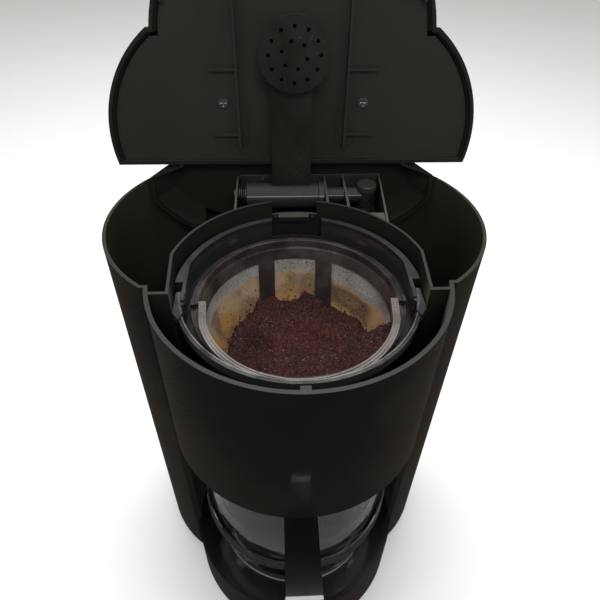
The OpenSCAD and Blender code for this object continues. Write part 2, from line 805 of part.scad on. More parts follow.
module lid_liner() color(soft_black) opened() {
    difference() {
        raise(liner_z, liner_t) intersection() {
            body_plan(liner_inset);
            before(lid_split_y - lid_wall - 0.2);
        }
        for (p = lid_bosses)
            translate([p[0], p[1], liner_z - 1]) cylinder(r = screw_r + 0.1, h = 5);
    }
    // rib that sits inside the front rim, parted for the catch
    raise(rim_z - 3, liner_z - rim_z + 3 + eps) difference() {
        circle(front_r - liner_inset);
        circle(front_r - liner_inset - 1.6);
        behind(-24);
        translate([-4.5, -far]) square([9, far]);
    }
    for (x = [-34, 31])
        translate([x, -34, rim_z - 0.5]) cube([1.6, 92, liner_z - rim_z + 0.5 + eps]);
    for (y = liner_ribs, x = [-49, 32])
        translate([x, y, rim_z - 0.5]) cube([17, 1.6, liner_z - rim_z + 0.5 + eps]);
}

module hinge_barrel() color(hinge_grey) opened() difference() {
    union() {
        along_hinge(barrel_left) cylinder(r = barrel_r, h = barrel_right - barrel_left);
        // the seam left by the mould
        along_hinge(barrel_left) rotate(seam_turn) translate([barrel_r - 0.5, -0.25, 0])
            cube([0.75, 0.5, barrel_right - barrel_left]);
    }
    along_hinge(barrel_left - 1) cylinder(r = pin_r + run_gap, h = 10.5);
    along_hinge(barrel_right - 10) cylinder(r = spigot_r + run_gap, h = 12);
    along_hinge(barrel_right - 4) cylinder(r = seal_r, h = 2);
    along_hinge(arm_mid - 3) cylinder(r = 3, h = barrel_right - 9 - arm_mid + 3);
    translate([arm_mid, hinge_y, hinge_z + 2]) rotate([90, 0, 0]) cylinder(r = 2.8, h = barrel_r * 2);
}

module water_arm() color(hinge_grey) opened() difference() {
    raise(arm_low_z, liner_z - arm_low_z) {
        translate([arm_left, arm_end_y]) square([arm_right - arm_left, hinge_y - arm_end_y]);
        translate([arm_mid, arm_end_y]) circle((arm_right - arm_left) / 2);
    }
    along_hinge(arm_left - 1) cylinder(r = barrel_r, h = 40);
    raise(arm_low_z + 2, liner_z - arm_low_z - 3.5) {
        translate([arm_mid - duct_w / 2, 0]) square([duct_w, hinge_y]);
        circle(duct_w / 2);
    }
    translate([0, 0, arm_low_z - 1]) cylinder(r = 4, h = 5);
}

module shower_head() color(hinge_grey) opened() translate([0, 0, arm_low_z]) difference() {
    rotate_extrude() polygon([
        [0, 0], [shower_r - 2, 0], [shower_r, -1.6], [shower_r, -5.5],
        [0, -5.5]
    ]);
    translate([0, 0, -4]) cylinder(r = shower_r - 2, h = 2.4);
    translate([0, 0, -3]) cylinder(r = 4, h = 5);
    for (i = [0:11])
        rotate(i * 30) translate([shower_r * 0.72, 0, -7]) cylinder(r = 1.1, h = 4);
    for (i = [0:5])
        rotate(i * 60 + 15) translate([shower_r * 0.36, 0, -7]) cylinder(r = 1.1, h = 4);
}

// ---- Basket and drip stop ----

module filter_basket() color(smoke) {
    difference() {
        union() {
            basket_bowl();
            difference() {
                basket_collar();
                raise(0, far) before(collar_end_y);
            }
        }
        // the gap for the water arm, and the notches between the collar and the ears
        translate([arm_left - 0.7, 0, filter_z - 1]) cube([31, far, far]);
        for (side = [0, 1])
            mirror([side, 0, 0]) translate([flat_x + 1.8, ear_y, lip_z - 6])
                cube([far, collar_end_y - ear_y, far]);
    }
    for (side = [0, 1])
        mirror([side, 0, 0]) basket_side();
}

module basket_bowl() {
    low_r = filter_r - 12.3;
    mid_r = filter_r - 1.1;
    rotate_extrude() polygon([
        [seat_r, basket_floor_z], [spout_r, basket_floor_z], [low_r, basket_floor_z + 5.5],
        [mid_r, ledge_z - 5], [mid_r, ledge_z - 0.1], [lip_r - 3.7, ledge_z - 0.1],
        [lip_r - 2.3, lip_z], [lip_r, lip_z], [lip_r, lip_z - 5],
        [mid_r + 3.2, ledge_z - 3.3], [mid_r + 2.2, ledge_z - 5.8],
        [low_r + 2.4, basket_floor_z + 3.5], [low_r, basket_low_z + 0.8],
        [spout_r + 2, basket_low_z], [spout_r, basket_low_z], [spout_r, spout_z],
        [spout_r - 1.6, spout_z], [spout_r - 1.6, basket_low_z], [seat_r, basket_low_z]
    ]);
}

// The raised collar round the back
module basket_collar() {
    rotate_extrude() polygon([
        [lip_r - 2.4, lip_z - 1], [lip_r - 2.8, collar_z], [collar_r, collar_z],
        [collar_r, collar_z - 2.4], [lip_r - eps, lip_z - 4]
    ]);
    raise(collar_z - 1.6, 1.6) difference() {
        circle(lip_r - 1);
        translate([-flat_x, -far]) square([2 * flat_x, 2 * far]);
    }
}

// The straight wall beside the filter with two pegs at its end, and the ear outside it
module basket_side() {
    raise(ledge_z - 0.5, collar_z - ledge_z + 0.5) intersection() {
        translate([flat_x, -11]) square([1.8, 30]);
        circle(lip_r - 3);
    }
    for (y = [-12.5, -8])
        translate([flat_x + 0.9, y, ledge_z - 0.5]) cylinder(r = 1.1, h = collar_z - ledge_z - 0.5);
    raise(lip_z - 3.5, 4.6) polygon([
        [ear_x - 2.6, ear_y], [ear_x, ear_y], [ear_x + 0.2, ear_y - 16],
        [ear_x - 3.4, ear_y - 21], [ear_x - 5.2, ear_y - 16], [ear_x - 3.4, ear_y - 10]
    ]);
}

module valve_cage() color(smoke) translate([0, 0, basket_floor_z + 0.05]) difference() {
    rotate_extrude() polygon([
        [plunger_r + 0.1, cage_h], [9.5, cage_h], [10.5, cage_h - 1.5], [10.5, 0], [9, 0],
        [9, cage_h - 1.5], [plunger_r + 0.1, cage_h - 1.5]
    ]);
    for (turn = [0, 60, 120])
        rotate(turn) translate([-12, -2.5, 1.5]) cube([24, 5, 7]);
}

module drip_plunger() color(white) {
    translate([0, 0, plunger_tip_z]) cylinder(r = 5, h = 1.5);
    translate([0, 0, plunger_tip_z])
        cylinder(r = plunger_r, h = basket_floor_z + stem_h - plunger_tip_z);
}

module valve_seal() color(silicone) translate([0, 0, basket_floor_z + 0.3]) difference() {
    cylinder(r = 6, h = 1.6);
    translate([0, 0, -1]) cylinder(r = plunger_r, h = 4);
}

module valve_spring() color(steel) translate([0, 0, basket_floor_z + 2])
    rotate_extrude() {
        translate([plunger_r + 0.7, 0.3]) square([0.5, 4]);
        for (i = [0:3])
            translate([plunger_r + 1, 0.6 + i * 1.1]) circle(0.5);
    }

// ---- Permanent filter ----

module filter_frame() color(brown_smoke) {
    difference() {
        rotate_extrude() polygon([
            [filter_r - 3.5, filter_z], [filter_r - 2.7, filter_z], [filter_r - 2.4, filter_z - 0.7],
            [filter_r - 1.1, filter_z - 0.7], [filter_r - 0.8, filter_z], [filter_r, filter_z],
            [filter_r, filter_z - 2.5], [filter_r - 2.3, filter_z - 2.5],
            [filter_low_r + 1.6, filter_low_z], [filter_low_r + 1.6, filter_low_z - filter_rib_h],
            [filter_low_r - 5, filter_low_z - filter_rib_h], [filter_low_r - 5, filter_low_z - 0.1],
            [filter_low_r, filter_low_z - 0.1], [filter_low_r, filter_low_z],
            [filter_r - 4.8, filter_z - 5], [filter_r - 3.7, filter_z - 4.2]
        ]);
        raise(filter_low_z + 3, filter_z - filter_band - filter_low_z - 3) difference() {
            square(far, center = true);
            for (side = [-1, 1])
                translate([side * rib_x - rib_w / 2, -far]) square([rib_w, 2 * far]);
            circle(filter_low_r - 3);
        }
    }
    for (turn = [0, 90])
        rotate(turn) translate([5 - filter_low_r, -1.5, filter_low_z - filter_rib_h])
            cube([2 * filter_low_r - 10, 3, filter_rib_h - 0.2]);
    // lugs with pins for the bail
    for (side = [0, 1])
        mirror([side, 0, 0]) {
            translate([filter_r - 2.1, bail_y - 2.4, filter_z - 1])
                cube([1.8, 4.8, bail_pin_z + 2.6 - filter_z]);
            translate([bail_x - 1, bail_y, bail_pin_z])
                rotate([0, 90, 0]) cylinder(r = 1.2, h = filter_r - bail_x);
        }
}

module filter_mesh() color(steel) rotate_extrude() polygon([
    [filter_low_r + 1.7, filter_low_z], [filter_low_r + 2.2, filter_low_z],
    [filter_r - 1.7, filter_z - 2.6], [filter_r - 2.2, filter_z - 2.6]
]);

module filter_floor() color(steel)
    translate([0, 0, filter_low_z]) cylinder(r = filter_low_r - 0.2, h = 0.6);

module filter_bail() color(silicone) difference() {
    union() {
        raise(bail_low_z, bail_t) bail_plan(bail_w);
        for (side = [-1, 1])
            translate([side * bail_x - bail_w / 2, bail_y, bail_pin_z])
                rotate([0, 90, 0]) cylinder(r = bail_t / 2, h = bail_w);
    }
    // a groove along the top
    raise(bail_low_z + bail_t - 0.5, 1) intersection() {
        difference() {
            bail_plan(2.2);
            bail_plan(1.2);
        }
        before(bail_y - 3);
    }
    for (side = [-1, 1])
        translate([side * bail_x - 5, bail_y, bail_pin_z])
            rotate([0, 90, 0]) cylinder(r = 1.2 + run_gap, h = 10);
}

// The bail's front curve passes through the ends of its legs and its middle
module bail_plan(width) {
    w = width / 2;
    curve_r = (bend_x * bend_x + pow(bail_front + bend_y, 2)) / 2 / (bail_front + bend_y);
    difference() {
        translate([0, curve_r - bail_front]) circle(curve_r + w);
        translate([0, curve_r - bail_front]) circle(curve_r - w);
        behind(bend_y);
    }
    for (side = [0, 1])
        mirror([side, 0, 0]) polygon([
            [bail_x - w, bail_y], [bail_x + w, bail_y],
            [bend_x + w, bend_y - 0.6], [bend_x - w, bend_y - 0.6]
        ]);
}

// ---- Carafe ----

// Outer radius of the glass at a share of the height from its foot to its neck
function bowl(t) = t < 0.35
    ? foot_ring_r + (bowl_r - foot_ring_r) * pow(sin(90 * t / 0.35), 0.6)
    : neck_r + (bowl_r - neck_r) * (1 + cos(180 * (t - 0.35) / 0.65)) / 2;

module carafe_glass() color(clear) {
    rise = neck_z - carafe_z;
    steps = [0:0.05:1.001];
    rotate_extrude() polygon(concat(
        [[0, carafe_z]],
        [for (t = steps) [bowl(t), carafe_z + rise * t]],
        [[neck_r, neck_z + 6], [neck_r - glass_t, neck_z + 6]],
        [for (t = [1:-0.05:0.049]) [bowl(t) - glass_t, carafe_z + rise * t]],
        [[foot_ring_r - 2, carafe_z + 3], [0, carafe_z + 3]]
    ));
}

module carafe_collar() color(black) {
    difference() {
        translate([0, 0, collar_low_z]) union() {
            cylinder(r = neck_r + 3, h = collar_high_z - collar_low_z);
            translate([0, neck_r - 4, 4]) cylinder(r = 11, h = collar_high_z - collar_low_z - 4);
        }
        translate([0, 0, collar_low_z - 1]) cylinder(r1 = neck_r + 0.8, r2 = neck_r + 0.1, h = 7);
        translate([0, 0, neck_z - eps]) cylinder(r = neck_r + 0.1, h = 6.1);
        translate([0, 0, collar_low_z]) cylinder(r = neck_r - 2, h = 30);
        translate([0, neck_r - 4, collar_high_z - 6]) cylinder(r = 9, h = 7);
    }
}

module carafe_band() color(steel) translate([0, 0, band_z]) difference() {
    cylinder(r = bowl_r + 1.2, h = band_h);
    translate([0, 0, -1]) cylinder(r = bowl_r + 0.2, h = band_h + 2);
}

// A rectangle from one corner to the other with round corners
module round_box(a, b, r) {
    translate([a[0] + r, a[1]]) square([b[0] - a[0] - 2 * r, b[1] - a[1]]);
    translate([a[0], a[1] + r]) square([b[0] - a[0], b[1] - a[1] - 2 * r]);
    for (x = [a[0] + r, b[0] - r], y = [a[1] + r, b[1] - r])
        translate([x, y]) circle(r);
}

module carafe_handle() color(black) difference() {
    top = collar_high_z - 1;
    rotate([90, 0, -90]) translate([0, 0, -handle_w / 2]) linear_extrude(handle_w) difference() {
        round_box([neck_r - handle_t, band_z], [handle_reach, top], handle_round);
        round_box([neck_r - 2 * handle_t, band_z + band_h],
            [handle_reach - handle_t, top - handle_t + 2], handle_round - 7);
    }
    translate([0, 0, band_z - 1]) cylinder(r = bowl_r + 1.25, h = 2 * band_h);
    translate([0, 0, band_z]) cylinder(r = neck_r + 3.05, h = 100);
    translate([0, -handle_screw_y, band_z - 1]) cylinder(r = screw_r, h = 9);
    translate([0, -handle_screw_y, band_z - 1]) cylinder(r = 3.1, h = 2.6);
}

module handle_screw() color(steel) translate([0, -handle_screw_y, band_z + 0.1]) {
    cylinder(r = 3, h = 1.5);
    cylinder(r = screw_r, h = 7);
}

// The lid turns on the collar to lock; its crown has the inlet under the drip stop
module carafe_lid() color(black) {
    low = collar_high_z;
    rotate_extrude() polygon([
            [3.5, carafe_top_z], [9, carafe_top_z], [12, carafe_top_z - 2.5], [30, low + 7.5],
            [neck_r + 2.5, low + 3], [neck_r + 2.5, low + 0.3], [neck_r - 2.3, low + 0.3],
            [neck_r - 2.3, low - 5], [neck_r - 4.5, low - 5], [neck_r - 4.5, low + 1],
            [29, low + 5], [9, carafe_top_z - 4.5], [3.5, carafe_top_z - 4.5]
        ]);
    translate([-9, -(neck_r + 15), low + 0.5]) difference() {
        cube([18, 16, 3]);
        translate([-1, 2, 2]) cube([20, 2, 2]);
    }
}

base_shell();
base_plate();
foot(0);  // foot_1
foot(1);  // foot_2
foot(2);  // foot_3
foot(3);  // foot_4
base_screws();
plate_gasket();
warming_plate();
heater();
heater_clamp();
thermostat();
thermal_fuse();
check_valve();
supply_hose();
cold_hose();
hot_hose();
riser_tube();
riser_grommet();
tank_strainer();
terminal_block();
cord_gland();
switch_bezel();
switch_body();
power_rocker();
tank_body();
brew_chamber();
rear_deck();
level_window();
hinge_tray();
hinge_pin();
hinge_spring();
swivel_tube();
swivel_collar();
swivel_seal();
riser_cap();
lid_shell();
lid_liner();
lid_screws();
hinge_barrel();
water_arm();
shower_head();
filter_basket();
valve_cage();
drip_plunger();
valve_seal();
valve_spring();
filter_frame();
filter_mesh();
filter_floor();
filter_bail();
carafe_glass();
carafe_collar();
carafe_band();
carafe_handle();
handle_screw();
carafe_lid();
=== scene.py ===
import math

import bpy
import numpy as np
from mathutils import Matrix, Vector


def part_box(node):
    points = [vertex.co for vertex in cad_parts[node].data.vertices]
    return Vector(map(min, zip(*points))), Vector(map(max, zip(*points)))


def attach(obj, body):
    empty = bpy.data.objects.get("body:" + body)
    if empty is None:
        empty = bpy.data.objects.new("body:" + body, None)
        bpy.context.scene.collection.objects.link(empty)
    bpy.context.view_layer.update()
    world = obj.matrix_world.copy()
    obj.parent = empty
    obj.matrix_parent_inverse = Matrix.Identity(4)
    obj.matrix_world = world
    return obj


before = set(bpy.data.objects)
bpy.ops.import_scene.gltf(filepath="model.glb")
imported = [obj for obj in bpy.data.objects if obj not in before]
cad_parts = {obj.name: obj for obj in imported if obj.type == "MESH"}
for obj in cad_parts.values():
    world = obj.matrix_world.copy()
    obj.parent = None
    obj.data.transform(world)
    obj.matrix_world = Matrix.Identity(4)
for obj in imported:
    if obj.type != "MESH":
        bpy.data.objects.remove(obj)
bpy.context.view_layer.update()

# ---- Camera ----
# It looks down into the open machine from the front, as someone does who has just filled the filter.
# The place is given from the brew chamber's axis and the rim, so it follows the model's own height.
rim_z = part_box("brew_chamber")[1][2]
camera_data = bpy.data.cameras.new("camera")
camera_data.sensor_width = 36.0
camera_data.lens = 31.542
camera_data.shift_x = 0.005833
camera = bpy.data.objects.new("camera", camera_data)
bpy.context.scene.collection.objects.link(camera)
yaw, pitch, roll = 0.04948, 0.73444, 0.01586
camera_x, camera_y, above_rim = -0.01174, -0.21418, 0.17371
forward = Vector((math.sin(yaw) * math.cos(pitch), math.cos(yaw) * math.cos(pitch), -math.sin(pitch)))
right = Vector((math.cos(yaw), -math.sin(yaw), 0))
turn = Matrix.Rotation(-roll, 3, forward)
right = turn @ right
up = right.cross(forward)
camera.matrix_world = Matrix(
    (
        (right.x, up.x, -forward.x, camera_x),
        (right.y, up.y, -forward.y, camera_y),
        (right.z, up.z, -forward.z, rim_z + above_rim),
        (0, 0, 0, 1),
    )
)
bpy.context.scene.camera = camera

# ---- Floor, room and lamps ----
# A pale floor and a plain white room that only the camera sees, with soft boxes above and beside the machine.
# The lamps make the long pale streaks on the black plastic, so its body stays dark between them.


class Value:
    """A number, colour or vector inside a material's node tree, which takes Python's operators."""

    def __init__(self, tree, socket):
        self.tree = tree
        self.socket = socket

    def node(self, kind, inputs, output=0, **settings):
        """A new node with its settings, and values or links on its sockets."""
        made = self.tree.nodes.new(kind)
        for name, setting in settings.items():
            setattr(made, name, setting)
        for slot, value in inputs.items():
            if isinstance(value, Value):
                self.tree.links.new(value.socket, made.inputs[slot])
            else:
                made.inputs[slot].default_value = value
        return Value(self.tree, made.outputs[output])

    def math(self, operation, *others):
        return self.node("ShaderNodeMath", dict(enumerate((self,) + others)), operation=operation)

    def __add__(self, other):
        return self.math("ADD", other)

    def __sub__(self, other):
        return self.math("SUBTRACT", other)

    def __mul__(self, other):
        return self.math("MULTIPLY", other)

    def __truediv__(self, other):
        return self.math("DIVIDE", other)

    def __rsub__(self, other):
        return self.node("ShaderNodeMath", {0: other, 1: self}, operation="SUBTRACT")

    def __rtruediv__(self, other):
        return self.node("ShaderNodeMath", {0: other, 1: self}, operation="DIVIDE")

    __radd__ = __add__
    __rmul__ = __mul__

    def between(self, low, high, to_low=0.0, to_high=1.0):
        """A soft step that goes from to_low at low to to_high at high."""
        ends = {0: self, 1: low, 2: high, 3: to_low, 4: to_high}
        return self.node("ShaderNodeMapRange", ends, interpolation_type="SMOOTHSTEP")

    def blend(self, first, second):
        """The colour first where this number is 0 and second where it is 1."""
        ends = [colour if isinstance(colour, Value) else (*colour, 1) for colour in (first, second)]
        return self.node("ShaderNodeMix", {0: self, 6: ends[0], 7: ends[1]}, output=2, data_type="RGBA")


class Finish:
    """A procedural material: fixed values are set on the shader, varying ones are linked to it."""

    def __init__(self, name, **fixed):
        self.material = bpy.data.materials.new(name)
        self.material.use_nodes = True
        self.tree = self.material.node_tree
        self.shader = self.tree.nodes["Principled BSDF"]
        coordinates = self.tree.nodes.new("ShaderNodeTexCoord")
        self.place = Value(self.tree, coordinates.outputs["Object"])
        self.x, self.y, self.z = self.parts(self.place)
        self.facing = Value(self.tree, coordinates.outputs["Normal"])
        for socket, value in fixed.items():
            self.shader.inputs[socket.replace("_", " ")].default_value = value

    def parts(self, vector):
        split = vector.node("ShaderNodeSeparateXYZ", {0: vector})
        made = split.socket.node
        return [Value(self.tree, made.outputs[i]) for i in range(3)]

    def noise(self, scale, detail=2.0, roughness=0.5, stretch=(1, 1, 1)):
        place = self.place
        if stretch != (1, 1, 1):
            place = place.node("ShaderNodeVectorMath", {0: place, 1: stretch}, operation="MULTIPLY")
        inputs = {"Vector": place, "Scale": scale, "Detail": detail, "Roughness": roughness}
        return place.node("ShaderNodeTexNoise", inputs)

    def cells(self, scale, output="Distance"):
        return self.place.node("ShaderNodeTexVoronoi", {"Vector": self.place, "Scale": scale}, output)

    def specks(self, scale, size):
        """1 in small spots of about that size in metres, 0 elsewhere. The scale is cells to a metre."""
        return self.cells(scale).between(size * scale, 0.5 * size * scale)

    def vary(self, colour=None, roughness=None, metallic=None, coat=None, relief=None, depth=0.0002):
        """Links what changes over the surface. The relief is as deep as depth, in metres."""
        links = {"Base Color": colour, "Roughness": roughness, "Metallic": metallic, "Coat Weight": coat}
        for socket, value in links.items():
            if value is not None:
                self.tree.links.new(value.socket, self.shader.inputs[socket])
        if relief is not None:
            bump = relief.node("ShaderNodeBump", {"Height": relief, "Distance": depth, "Strength": 1.0})
            self.tree.links.new(bump.socket, self.shader.inputs["Normal"])


bpy.ops.mesh.primitive_plane_add(size=8, location=(0, 0, 0))
floor = bpy.context.object
floor.name = "floor"
paper = Finish("floor_paper", Roughness=0.8)
paper.vary(colour=paper.noise(3).blend((0.86, 0.86, 0.86), (0.9, 0.9, 0.9)))
floor.data.materials.append(paper.material)
floor.visible_glossy = False

world = bpy.data.worlds.new("room")
bpy.context.scene.world = world
world.use_nodes = True
sky = world.node_tree
ray = Value(sky, sky.nodes.new("ShaderNodeLightPath").outputs["Is Camera Ray"])
through = Value(sky, ray.socket.node.outputs["Is Transmission Ray"])
mirrored = Value(sky, ray.socket.node.outputs["Is Glossy Ray"])
room = mirrored.blend((0.5, 0.49, 0.47), (0.036, 0.032, 0.028))
room = ray.math("MAXIMUM", through).blend(room, (0.97, 0.97, 0.97))
sky.links.new(room.socket, sky.nodes["Background"].inputs["Color"])


def soft_box(name, place, target, size, power):
    lamp = bpy.data.lights.new(name, "AREA")
    lamp.shape = "RECTANGLE"
    lamp.size, lamp.size_y = size
    lamp.energy = power
    made = bpy.data.objects.new(name, lamp)
    bpy.context.scene.collection.objects.link(made)
    made.location = place
    made.rotation_euler = (Vector(target) - Vector(place)).to_track_quat("-Z", "Y").to_euler()


soft_box("lamp_above", (0.0, 0.35, 1.6), (0, 0, 0.3), (0.9, 0.8), 22)
soft_box("lamp_left", (-1.3, -0.55, 0.35), (0, 0, 0.15), (0.18, 1.2), 3.0)
soft_box("lamp_right", (1.3, -0.55, 0.35), (0, 0, 0.15), (0.18, 1.2), 3.0)
soft_box("lamp_front", (0.1, -1.2, 1.5), (0, 0, 0.28), (0.7, 0.5), 9)
bpy.context.scene.view_settings.view_transform = "Standard"

# ---- Base ----
# Satin black mouldings underneath and round the switch, rubber feet, and the coated warming plate.
# Years of wiping have dulled the plate in the middle and left a faint brown ring round the carafe's foot.


def dress(material, *nodes):
    for name in nodes:
        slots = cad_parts[name].data.materials
        slots.clear()
        slots.append(material)


satin = Finish("satin_black", IOR=1.48)
satin.vary(
    colour=satin.noise(80, 3).blend((0.012, 0.011, 0.0105), (0.022, 0.021, 0.02)),
    roughness=satin.noise(15, 3).between(0.3, 0.7, 0.4, 0.55),
    relief=satin.noise(1800, 2),
    depth=0.00006,
)
dress(satin.material, "base_plate", "switch_bezel", "switch_body")

rubber = Finish("black_rubber", IOR=1.5)
rubber.vary(
    colour=rubber.noise(120, 3).blend((0.02, 0.02, 0.02), (0.045, 0.044, 0.042)),
    roughness=rubber.noise(60, 3).between(0.3, 0.7, 0.72, 0.88),
    relief=rubber.noise(2500, 2),
    depth=0.0001,
)
dress(rubber.material, "foot_1", "foot_2", "foot_3", "foot_4", "riser_grommet", "cord_gland", "swivel_seal")

plate = Finish("plate_coating", IOR=1.5, Coat_Roughness=0.3)
plate_radius = (plate.x * plate.x + plate.y * plate.y).math("SQRT")
scorch = plate_radius.between(0.04, 0.052) * plate_radius.between(0.06, 0.054)
plate.vary(
    colour=(scorch * plate.noise(45, 4).between(0.35, 0.7)).blend((0.03, 0.03, 0.032), (0.09, 0.05, 0.03)),
    roughness=plate.noise(30, 4).between(0.3, 0.7, 0.3, 0.5) + plate_radius.between(0.045, 0.01) * 0.12,
    metallic=plate.specks(260, 0.0006) * 0.6,
    relief=plate.noise(1200, 2),
    depth=0.00008,
)
dress(plate.material, "warming_plate")

# ---- Metal and water parts in the base ----
# Screws, clamp, thermostat, the drip stop's spring and the carafe's band are bright steel.
# The heater is cast aluminium with a grainy skin. Hoses and gaskets are milky silicone, and the valve, fuse,
# strainer, terminal block and plunger are white mouldings.
steel = Finish("bright_steel")
steel.vary(
    colour=steel.noise(40, 4).blend((0.5, 0.5, 0.51), (0.66, 0.66, 0.67)),
    metallic=steel.noise(30, 2).between(0.0, 0.2, 0.9, 1.0),
    roughness=steel.noise(70, 4, stretch=(1, 1, 8)).between(0.3, 0.7, 0.2, 0.38),
    relief=steel.noise(300, 3, stretch=(1, 1, 20)),
    depth=0.00003,
)
dress(steel.material, "base_screws", "heater_clamp", "thermostat", "lid_screws", "handle_screw")
dress(steel.material, "valve_spring", "carafe_band")

cast = Finish("cast_aluminium")
cast.vary(
    colour=cast.noise(90, 4).blend((0.3, 0.3, 0.31), (0.5, 0.5, 0.51)),
    metallic=cast.noise(20, 2).between(0.0, 0.2, 0.85, 1.0),
    roughness=cast.noise(300, 3).between(0.3, 0.7, 0.42, 0.6),
    relief=cast.noise(900, 4),
    depth=0.0002,
)
dress(cast.material, "heater")

silicone = Finish("milky_silicone", IOR=1.41, Subsurface_Weight=0.2, Subsurface_Scale=0.002)
silicone.vary(
    colour=silicone.noise(50, 3).blend((0.6, 0.585, 0.54), (0.72, 0.71, 0.67)),
    roughness=silicone.noise(80, 3).between(0.3, 0.7, 0.42, 0.58),
    relief=silicone.noise(700, 2),
    depth=0.00008,
)
dress(silicone.material, "plate_gasket", "supply_hose", "cold_hose", "hot_hose", "riser_tube", "valve_seal")

white = Finish("white_moulding", IOR=1.5)
white.vary(
    colour=white.noise(60, 3).blend((0.6, 0.59, 0.55), (0.7, 0.69, 0.66)),
    roughness=white.noise(50, 3).between(0.3, 0.7, 0.34, 0.48),
    relief=white.noise(1400, 2),
    depth=0.00005,
)
dress(white.material, "thermal_fuse", "check_valve", "tank_strainer", "terminal_block", "drip_plunger")

# ---- Housing ----
# The tank, the brew chamber and the other outer mouldings are one gloss black plastic, duller inside.
# Its rim tops are painted paler as painted highlights, the moulding waves a little, and handling has left soft
# smears on it.


def black_plastic(name, inside, share):
    """Gloss black, with inside's colour and no gloss where share, a function of the finish, is 1."""
    made = Finish(name, IOR=1.3, Coat_IOR=1.5, Coat_Roughness=0.1)
    dull = share(made)
    # Upward faces just under the rim, and on a step about 7 to 12 mm under it, are painted paler: painted
    # highlights where light from above falls.
    upward = made.parts(made.facing)[2].between(0.6, 0.9)
    lit_rim_tops = upward * made.z.between(rim_z - 0.002, rim_z - 0.0005)
    lit_ledge = upward * made.z.between(rim_z - 0.0125, rim_z - 0.0115)
    lit_ledge = lit_ledge * made.z.between(rim_z - 0.0065, rim_z - 0.0075)
    waves = (made.noise(10, 2).between(0.46, 0.54) * 0.75 + made.noise(60, 3) * 0.5).math("MINIMUM", 1.0)
    bare = waves.blend((0.0038, 0.0031, 0.0026), (0.0088, 0.0077, 0.0062))
    rimmed = lit_rim_tops.blend(dull.blend(bare, inside(made)), (0.029, 0.0275, 0.0235))
    made.vary(
        colour=lit_ledge.blend(rimmed, (0.06, 0.057, 0.049)),
        roughness=made.noise(9, 4, 0.6).between(0.35, 0.75, 0.14, 0.26) + lit_rim_tops * 0.35 + dull * 0.6,
        coat=1.0 - (dull + lit_rim_tops + lit_ledge),
        relief=made.noise(26, 1) + made.noise(900, 2) * 0.03,
        depth=0.0005,
    )
    return made.material


def inward(finish):
    nx, ny, nz = finish.parts(finish.facing)
    return (finish.x * nx + (finish.y - 0.02) * ny).between(0.006, -0.006) * nz.between(0.8, 0.5)


gloss = black_plastic(
    "gloss_black", lambda f: f.noise(14, 3).blend((0.026, 0.024, 0.016), (0.034, 0.031, 0.021)), inward
)
dress(gloss, "tank_body", "base_shell", "rear_deck", "carafe_collar", "carafe_handle", "carafe_lid")
# In the brew chamber the front inner walls are painted far paler than the back ones: painted light, standing
# in for light in the shaded front of that narrow space.
chamber = black_plastic(
    "chamber_black",
    lambda f: f.y.between(-0.03, 0.0).blend((0.18, 0.168, 0.13), (0.012, 0.0114, 0.0085)),
    inward,
)
dress(chamber, "brew_chamber")
steamed = black_plastic(
    "steamed_black",
    lambda f: f.noise(14, 3).blend((0.0105, 0.0096, 0.0066), (0.015, 0.0138, 0.0096)),
    lambda f: f.parts(f.facing)[1].between(0.2, -0.5),
)
dress(steamed, "lid_shell")

clear = Finish("clear_window", IOR=1.49, Transmission_Weight=0.9)
clear.vary(
    colour=clear.noise(30, 2).blend((0.75, 0.78, 0.8), (0.85, 0.87, 0.88)),
    roughness=clear.noise(40, 3).between(0.3, 0.7, 0.06, 0.16),
)
dress(clear.material, "level_window")

# ---- Hinge ----
# The barrel, arm and riser are one dark grey plastic with a fine spark texture, and the tray is darker.
# The tray's upward top edges are painted paler as a painted highlight, and lime has dried in small specks.
hinge = Finish("hinge_grey", IOR=1.45)
scuff = hinge.noise(35, 5, 0.65)
hinge.vary(
    colour=(hinge.specks(420, 0.0005) * scuff.between(0.5, 0.6)).blend(
        scuff.between(0.3, 0.7).blend((0.019, 0.0165, 0.0135), (0.028, 0.0245, 0.02)), (0.1, 0.09, 0.08)
    ),
    roughness=scuff.between(0.3, 0.7, 0.36, 0.52),
    relief=hinge.noise(1500, 2),
    depth=0.00008,
)
dress(hinge.material, "riser_cap", "power_rocker", "hinge_pin")

# The arm and the shower head hang in the steam, and are nearly as dark as the lid.
sprayed = Finish("sprayed_arm", IOR=1.4)
lime = sprayed.noise(45, 5, 0.65)
sprayed.vary(
    colour=(sprayed.specks(420, 0.0005) * lime.between(0.5, 0.6)).blend(
        lime.between(0.3, 0.7).blend((0.0115, 0.0108, 0.0082), (0.0165, 0.0155, 0.012)), (0.045, 0.042, 0.037)
    ),
    roughness=lime.between(0.3, 0.7, 0.4, 0.56),
    relief=sprayed.noise(1500, 2),
    depth=0.00008,
)
dress(sprayed.material, "water_arm", "shower_head")

# The barrel carries a seam where the mould's two halves met along its front.
barrel_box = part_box("hinge_barrel")
axis_y, axis_z = (barrel_box[0][1] + barrel_box[1][1]) / 2, (barrel_box[0][2] + barrel_box[1][2]) / 2
moulded = Finish("moulded_barrel", IOR=1.45)
across = (moulded.z - axis_z).math("ARCTAN2", axis_y - moulded.y)
# A thin painted highlight runs along the seam, and the tones above and below it are painted light and shade.
seam_highlight = across.between(0.36, 0.4) * across.between(0.5, 0.46)
above_seam = across.between(0.36, 0.42)
pitted = moulded.noise(70, 4, 0.65)
upper_tone = pitted.between(0.3, 0.7).blend((0.022, 0.0185, 0.0165), (0.029, 0.0248, 0.022))
body = above_seam.blend((0.023, 0.0205, 0.018), upper_tone)
moulded.vary(
    colour=seam_highlight.blend(body, (0.22, 0.205, 0.19)),
    roughness=pitted.between(0.3, 0.7, 0.5, 0.64),
    relief=moulded.noise(1500, 2),
    depth=0.00008,
)
dress(moulded.material, "hinge_barrel", "swivel_collar", "swivel_tube")

